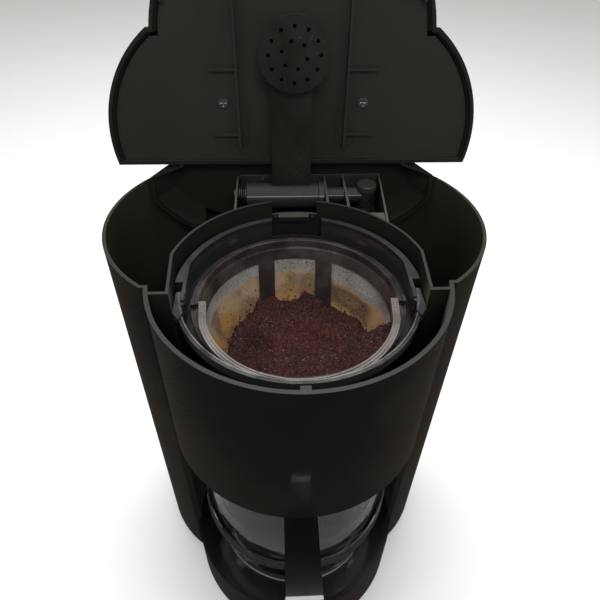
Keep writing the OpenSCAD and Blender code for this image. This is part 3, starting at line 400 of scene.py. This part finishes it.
tray = Finish("tray_grey", IOR=1.4)
# Upward faces at the tray's top are painted paler: a painted highlight.
edge = tray.parts(tray.facing)[2].between(0.6, 0.9) * tray.z.between(rim_z - 0.009, rim_z - 0.006)
lime = tray.noise(60, 5, 0.65)
tray.vary(
    colour=edge.blend(
        lime.between(0.35, 0.75).blend((0.024, 0.0225, 0.017), (0.034, 0.0315, 0.025)), (0.08, 0.075, 0.062)
    ),
    roughness=lime.between(0.3, 0.7, 0.45, 0.62),
    relief=tray.noise(1500, 2),
    depth=0.00008,
)
dress(tray.material, "hinge_tray")

spring = Finish("oiled_spring", Metallic=1.0)
oil = spring.noise(220, 4)
spring.vary(
    colour=oil.between(0.3, 0.7).blend((0.045, 0.042, 0.038), (0.13, 0.125, 0.115)),
    roughness=oil.between(0.3, 0.7, 0.42, 0.6),
    relief=spring.noise(900, 2),
    depth=0.00005,
)
dress(spring.material, "hinge_spring")

# ---- Lid ----
# A black moulded liner closes the lid from below, held by screws.
# It is the dullest of the black mouldings, because steam reaches it every day.
liner = Finish("lid_liner_black", IOR=1.48)
liner.vary(
    colour=liner.noise(20, 4).blend((0.015, 0.014, 0.0098), (0.022, 0.0205, 0.0145)),
    roughness=liner.noise(12, 4).between(0.3, 0.7, 0.5, 0.7),
    relief=liner.noise(1500, 2),
    depth=0.00008,
)
dress(liner.material, "lid_liner")

# ---- Basket ----
# One smoke plastic moulding that drops into the chamber, with the drip stop's cage under it.
# It is nearly black and glossy in the bowl, with painted light on its shaded outer walls and a rough frosting
# on its flat tops, painted paler as a painted highlight.
smoke = Finish("smoke_plastic", IOR=1.54, Transmission_Weight=0.1, Coat_Roughness=0.05)
sideways_x, sideways_y, upward = smoke.parts(smoke.facing)
high = smoke.z.between(rim_z - 0.0125, rim_z - 0.0105)
# Flat upward tops high on the basket are rougher, and are painted paler as a painted highlight.
frosted_lit_top = upward.between(0.35, 0.7) * high
damp = smoke.noise(55, 4, 0.6)
ring = (smoke.x * smoke.x + smoke.y * smoke.y).math("SQRT")
outward = (smoke.x * sideways_x + smoke.y * sideways_y) / ring
# Outer walls, except at the front, get a paler mottled colour: painted light on walls that lie in shade.
outside = outward.between(0.35, 0.7) * smoke.y.between(-0.06, -0.042)
lip_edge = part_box("filter_basket")[1][0] - 0.003
# A thin ring at the lip's edge is a painted highlight.
lip_highlight = ring.between(lip_edge + 0.0008, lip_edge + 0.0004) * ring.between(lip_edge - 0.0004, lip_edge - 0.0001)
collar = smoke.z.between(rim_z - 0.0105, rim_z - 0.0095)
lip_highlight = lip_highlight * frosted_lit_top * damp.between(0.3, 0.6, 0.35, 1.0) * collar.between(1.0, 0.0)
deep = damp.blend((0.0145, 0.0145, 0.0155), (0.0235, 0.0237, 0.0262))
painted_outer_light = damp.between(0.2, 0.8).blend((0.045, 0.0405, 0.0425), (0.06, 0.0545, 0.058))
top_brightness = damp.between(0.3, 0.7) * 0.3 + collar * 0.45 + 0.25
lit_top_colour = top_brightness.blend((0.01, 0.0097, 0.0102), (0.036, 0.0345, 0.039))
smoke.vary(
    colour=lip_highlight.blend(frosted_lit_top.blend(outside.blend(deep, painted_outer_light), lit_top_colour), (0.2, 0.2, 0.205)),
    roughness=frosted_lit_top * 0.12 + damp.between(0.35, 0.65, 0.1, 0.24),
    coat=(collar * 0.35 + 0.25) * frosted_lit_top.between(1.0, 0.0),
    relief=smoke.noise(60, 1) + smoke.noise(1400, 2) * 0.04,
    depth=0.0002,
)
dress(smoke.material, "filter_basket", "valve_cage")

# ---- Permanent filter ----
# A brown smoke frame with a glossy skin, darker where coffee has soaked in, round a fine steel mesh.
# The mesh is silver at the top, and stained gold and tan in clouds further down, with dark grains stuck in it.
mesh_low, mesh_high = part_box("filter_mesh")[0][2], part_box("filter_mesh")[1][2]
rim_over_mesh = 0.0026
filter_rim = mesh_high + rim_over_mesh
brown = Finish("brown_smoke", IOR=1.54, Transmission_Weight=0.25, Coat_Roughness=0.06)
soak = brown.noise(70, 4, 0.6)
lug = brown.z.between(filter_rim + 0.0004, filter_rim + 0.0008)
soaked = soak.between(0.35, 0.7).blend((0.03, 0.0255, 0.025), (0.062, 0.052, 0.051))
brown.vary(
    colour=lug.blend(soaked, (0.008, 0.007, 0.007)),
    roughness=soak.between(0.3, 0.7, 0.12, 0.3) + lug * 0.4,
    coat=soak.between(0.2, 0.8, 0.7, 0.3) * lug.between(1.0, 0.0),
    relief=brown.noise(110, 3) + brown.noise(1500, 2) * 0.05,
    depth=0.0002,
)
dress(brown.material, "filter_frame")

weave = Finish("woven_steel", IOR=1.5)
depth = filter_rim - weave.z
cloud = weave.noise(38, 5, 0.62)
fine = weave.noise(850, 2, 0.7)
around = weave.y.math("ARCTAN2", weave.x)
out_x, out_y = weave.parts(weave.facing)[:2]
# Faces turned away from the filter's inside are painted dark grey: painted shade, which also dims their
# reflection in the basket's glossy wall.
behind = (weave.x * out_x + weave.y * out_y).between(0.005, 0.015)
spread_right = around.between(1.25, 1.0) * around.between(0.25, 0.6)
tide = weave.noise(26, 3) * 0.014 + 0.0125 + spread_right * 0.005
stain = (depth - tide).between(-0.0022, 0.0028)
silver = (fine * 0.55 + cloud * 0.45).between(0.36, 0.64).blend((0.27, 0.26, 0.25), (0.64, 0.62, 0.6))
gold = (weave.noise(30, 4, 0.6).between(0.4, 0.62) + depth.between(0.026, 0.036) * 0.6).math("MINIMUM", 1.0)
gold = gold.blend((0.42, 0.31, 0.205), (0.46, 0.245, 0.075))
smoky = around.between(0.25, 0.5) * around.between(1.2, 0.95)
smoky = smoky * depth.between(0.0235, 0.0285) * depth.between(0.041, 0.035)
dark = (cloud.between(0.48, 0.64) * stain * 0.75).blend(gold, (0.13, 0.085, 0.055))
dark = (smoky * cloud.between(0.25, 0.5, 0.45, 1.0)).blend(dark, (0.092, 0.061, 0.042))
grains = weave.specks(330, 0.0007) * weave.noise(60, 2).between(0.5, 0.62)
grains = grains * stain.between(0.0, 1.0, 0.2, 1.0)
thread = ((around * 420.0).math("SINE") + (weave.z * 9000.0).math("SINE")) * 0.5
stained = fine.between(0.25, 0.8, -0.12, 0.25).blend(dark, (0.6, 0.5, 0.4))
inside = grains.blend(stain.blend(silver, stained), (0.05, 0.03, 0.02))
weave.vary(
    colour=behind.blend(inside, (0.06, 0.057, 0.057)),
    metallic=0.55 - stain * 0.35,
    roughness=stain * 0.15 + 0.42,
    relief=thread,
    depth=0.00008,
)
dress(weave.material, "filter_mesh", "filter_floor")

# ---- Bail ----
# The folding handle of the filter, hinged on two lugs and lying on the rim.
# It is a warm grey plastic with a soft shine and a few dark specks.
ivory = Finish("warm_grey_plastic", IOR=1.49, Coat_Weight=0.2, Coat_Roughness=0.2)
film = ivory.noise(50, 5, 0.6)
ivory.vary(
    colour=ivory.specks(300, 0.0007).blend(
        film.between(0.3, 0.7).blend((0.1, 0.087, 0.08), (0.165, 0.146, 0.136)), (0.03, 0.02, 0.015)
    ),
    roughness=film.between(0.3, 0.7, 0.26, 0.42),
    relief=ivory.noise(1000, 2),
    depth=0.00008,
)
dress(ivory.material, "filter_bail")

# ---- Carafe ----
# A blown glass bowl of even wall, held by the band and the collar.
# It is clear, with faint ripples from the mould and dull patches of dried water.
glass = Finish("carafe_glass_clear", IOR=1.47, Transmission_Weight=1.0)
glass.vary(
    colour=glass.noise(12, 2).blend((0.93, 0.96, 0.955), (0.96, 0.98, 0.975)),
    roughness=glass.noise(25, 4).between(0.5, 0.75, 0.01, 0.09),
    relief=glass.noise(35, 1),
    depth=0.0003,
)
dress(glass.material, "carafe_glass")

# ---- Ground coffee ----
# A poured heap, highest at the right front and hollow at the left, that ends on the mesh all round.
# It is a lumpy body, and Geometry Nodes scatters thousands of small crumbs over its top.
filter_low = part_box("filter_floor")[1][2]
mesh_thickness, mesh_taper = 0.0006, 0.0161
wall_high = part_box("filter_mesh")[1][0] - mesh_thickness
wall_low = wall_high - mesh_taper


def wall_radius(depth):
    """The filter's inner radius at a depth under its rim."""
    down = (depth - filter_rim + mesh_high) / (mesh_high - mesh_low)
    return wall_high + down * (wall_low - wall_high)


# Depths are in mm under the rim. Angles are in degrees from the right, anticlockwise seen from above.
back_depth, front_rise = 42, 31
climb_from, climb_to = 200, 325
bank_from, bank_to = 348, 375


def crest(angle, middle, spread, rise):
    """What one crest adds to the heap's edge, most at its middle."""
    off = (angle - middle + 180) % 360 - 180
    return rise * math.exp(-((off / spread) ** 2))


def edge_at(angle):
    """Where the heap meets the mesh: level behind, climbing from the left, with a steep bank at the right."""
    turn = (angle - bank_to) % 360 + bank_to - 360
    along = min(max((turn - climb_from) / (climb_to - climb_from), 0.0), 1.0)
    down = min(max((turn - bank_from) / (bank_to - bank_from), 0.0), 1.0)
    front = math.sin(math.radians(90 * along)) * (1 - down * down * (3 - 2 * down))
    crests = crest(turn, 77, 9, 8) + crest(turn, 114, 11, 8) + crest(turn, 28, 6, 4)
    hollow = crest(turn, 174, 22, 6)
    return back_depth - front_rise * front - crests + hollow


heap_middle = [(0, 0, 31), (-16, 12, 31), (14, -22, 24), (-12, -26, 27), (22, 8, 35), (2, 26, 33)]
known = []
for angle in range(-90, 270, 10):
    depth = edge_at(angle)
    reach = wall_radius(depth / 1000) * 1000
    known.append((reach * math.cos(math.radians(angle)), reach * math.sin(math.radians(angle)), depth))
known = np.array(known + heap_middle, dtype=float)
rng = np.random.default_rng(7)
lump_count = 520
lumps = [
    (rng.uniform(-50, 50), rng.uniform(-50, 50), rng.uniform(1.4, 6.5), rng.uniform(-0.9, 1.2))
    for _ in range(lump_count)
]


def heap_depth(x, y):
    """How far under the filter's rim the coffee lies at a place in mm."""
    gap = (x - known[:, 0]) ** 2 + (y - known[:, 1]) ** 2 + 5
    weight = 1 / gap**2
    depth = float((weight * known[:, 2]).sum() / weight.sum())
    for lump_x, lump_y, size, rise in lumps:
        off = ((x - lump_x) ** 2 + (y - lump_y) ** 2) / size**2
        if off < 4:
            depth -= rise * math.exp(-off * 1.5)
    return depth


def meet_wall(angle, gap):
    """The depth and the radius where the heap's top comes within a gap of the filter's wall, in metres."""
    reach = 0.045
    for _ in range(4):
        depth = heap_depth(1000 * reach * math.cos(angle), 1000 * reach * math.sin(angle)) / 1000
        reach = wall_radius(depth) - gap
    return depth, reach


def mesh_piece(name, vertices, faces, material):
    data = bpy.data.meshes.new(name)
    data.from_pydata(vertices, [], faces)
    data.polygons.foreach_set("use_smooth", [True] * len(faces))
    data.materials.append(material)
    data.update()
    made = bpy.data.objects.new(name, data)
    bpy.context.scene.collection.objects.link(made)
    return made


coffee = Finish("ground_coffee", IOR=1.33)
tone = coffee.noise(34, 3).between(0.3, 0.7)
crumb = coffee.noise(1000, 2, 0.7).between(0.34, 0.66)
grain_tint = coffee.parts(coffee.cells(1000, "Color"))
grain = tone.blend((0.06, 0.0188, 0.0194), (0.086, 0.017, 0.013))
grain = (crumb * 0.5 + grain_tint[1] * 0.5).between(0.0, 1.0).blend((0.004, 0.0013, 0.0013), grain)
glints = coffee.specks(900, 0.00045) * grain_tint[0].between(0.8, 0.86)
coffee.vary(
    colour=glints.blend(grain, (0.19, 0.105, 0.092)),
    roughness=crumb.between(0.0, 1.0, 0.6, 0.85),
    relief=coffee.noise(1500, 3),
    depth=0.0006,
)

rings, spokes = 64, 192
foot_radius, foot_z = 0.0375, filter_low + 0.0002
angles = [2 * math.pi * spoke / spokes for spoke in range(spokes)]
edges = [meet_wall(angle, 0.0001)[1] for angle in angles]
points = [(0.0, 0.0, filter_rim - heap_depth(0, 0) / 1000)]
for ring_at in range(1, rings + 1):
    for angle, edge_reach in zip(angles, edges):
        out = edge_reach * ring_at / rings
        x, y = out * math.cos(angle), out * math.sin(angle)
        points.append((x, y, filter_rim - heap_depth(1000 * x, 1000 * y) / 1000))
top_count = len(points)
for angle in angles:
    points.append((foot_radius * math.cos(angle), foot_radius * math.sin(angle), foot_z))
points.append((0, 0, foot_z))
faces = [(0, 1 + spoke, 1 + (spoke + 1) % spokes) for spoke in range(spokes)]
for ring_at in range(rings):
    start = 1 + ring_at * spokes
    for spoke in range(spokes):
        after = (spoke + 1) % spokes
        faces.append((start + spoke, start + spokes + spoke, start + spokes + after, start + after))
for spoke in range(spokes):
    faces.append((top_count + spoke, len(points) - 1, top_count + (spoke + 1) % spokes))
heap = mesh_piece("coffee_heap", points, faces, coffee.material)
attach(heap, "filter")


def scatter(name, carrier, count_per_m2, size, seed, material):
    """Small turned crumbs, scattered over the carrier's faces."""
    tree = bpy.data.node_groups.new(name, "GeometryNodeTree")
    tree.interface.new_socket("Geometry", in_out="INPUT", socket_type="NodeSocketGeometry")
    inputs = (("Density", "Float", count_per_m2), ("Size", "Float", size), ("Seed", "Int", seed))
    for label, kind, value in inputs:
        made = tree.interface.new_socket(label, in_out="INPUT", socket_type="NodeSocket" + kind)
        made.default_value = value
    tree.interface.new_socket("Geometry", in_out="OUTPUT", socket_type="NodeSocketGeometry")
    nodes, link = tree.nodes, tree.links.new
    entry, leave = nodes.new("NodeGroupInput"), nodes.new("NodeGroupOutput")
    spread = nodes.new("GeometryNodeDistributePointsOnFaces")
    link(entry.outputs["Geometry"], spread.inputs["Mesh"])
    link(entry.outputs["Density"], spread.inputs["Density"])
    link(entry.outputs["Seed"], spread.inputs["Seed"])
    crumb_shape = nodes.new("GeometryNodeMeshIcoSphere")
    crumb_shape.inputs["Radius"].default_value = 1.0
    crumb_shape.inputs["Subdivisions"].default_value = 1
    put = nodes.new("GeometryNodeInstanceOnPoints")
    link(spread.outputs["Points"], put.inputs["Points"])
    link(crumb_shape.outputs["Mesh"], put.inputs["Instance"])
    spin, scale = nodes.new("FunctionNodeRandomValue"), nodes.new("FunctionNodeRandomValue")
    ranges = ((spin, (0, 0, 0), (6.28, 6.28, 6.28)), (scale, (0.5, 0.35, 0.3), (1.3, 1.0, 0.9)))
    for made, low, high in ranges:
        made.data_type = "FLOAT_VECTOR"
        made.inputs[0].default_value = low
        made.inputs[1].default_value = high
        link(entry.outputs["Seed"], made.inputs["Seed"])
    grow = nodes.new("ShaderNodeVectorMath")
    grow.operation = "SCALE"
    link(scale.outputs[0], grow.inputs[0])
    link(entry.outputs["Size"], grow.inputs["Scale"])
    link(spin.outputs[0], put.inputs["Rotation"])
    link(grow.outputs[0], put.inputs["Scale"])
    real, coat = nodes.new("GeometryNodeRealizeInstances"), nodes.new("GeometryNodeSetMaterial")
    coat.inputs["Material"].default_value = material
    link(put.outputs["Instances"], real.inputs["Geometry"])
    link(real.outputs["Geometry"], coat.inputs["Geometry"])
    link(coat.outputs["Geometry"], leave.inputs["Geometry"])
    maker = carrier.modifiers.new(name, "NODES")
    maker.node_group = tree
    bpy.context.view_layer.update()
    done = bpy.data.meshes.new_from_object(carrier.evaluated_get(bpy.context.evaluated_depsgraph_get()))
    carrier.modifiers.remove(maker)
    made = bpy.data.objects.new(name, done)
    bpy.context.scene.collection.objects.link(made)
    return made


heap_top = mesh_piece("heap_top", points[:top_count], faces[: spokes * rings], coffee.material)
crumbs = scatter("coffee_crumbs", heap_top, 1.15e6, 0.00062, 3, coffee.material)
bpy.data.objects.remove(heap_top)
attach(crumbs, "filter")

# Grains cling to the mesh in a ragged band above the heap, more of them close to it.
band_count, mean_rise, least_depth = 1400, 0.0022, 0.006
band_points, band_faces = [], []
for _ in range(band_count):
    angle = rng.uniform(0, 2 * math.pi)
    rise = rng.exponential(mean_rise)
    grain_depth = max(meet_wall(angle, 0.0)[0] - rise, least_depth)
    reach = wall_radius(grain_depth) - 0.0004
    centre = Vector((reach * math.cos(angle), reach * math.sin(angle), filter_rim - grain_depth))
    start = len(band_points)
    for _ in range(3):
        band_points.append(centre + Vector(rng.uniform(-0.0006, 0.0006, 3)))
    band_faces.append((start, start + 1, start + 2))
band = mesh_piece("band_carrier", band_points, band_faces, coffee.material)
stray = scatter("stray_grains", band, 1.3e6, 0.0006, 5, coffee.material)
bpy.data.objects.remove(band)
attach(stray, "filter")

bpy.context.view_layer.update()
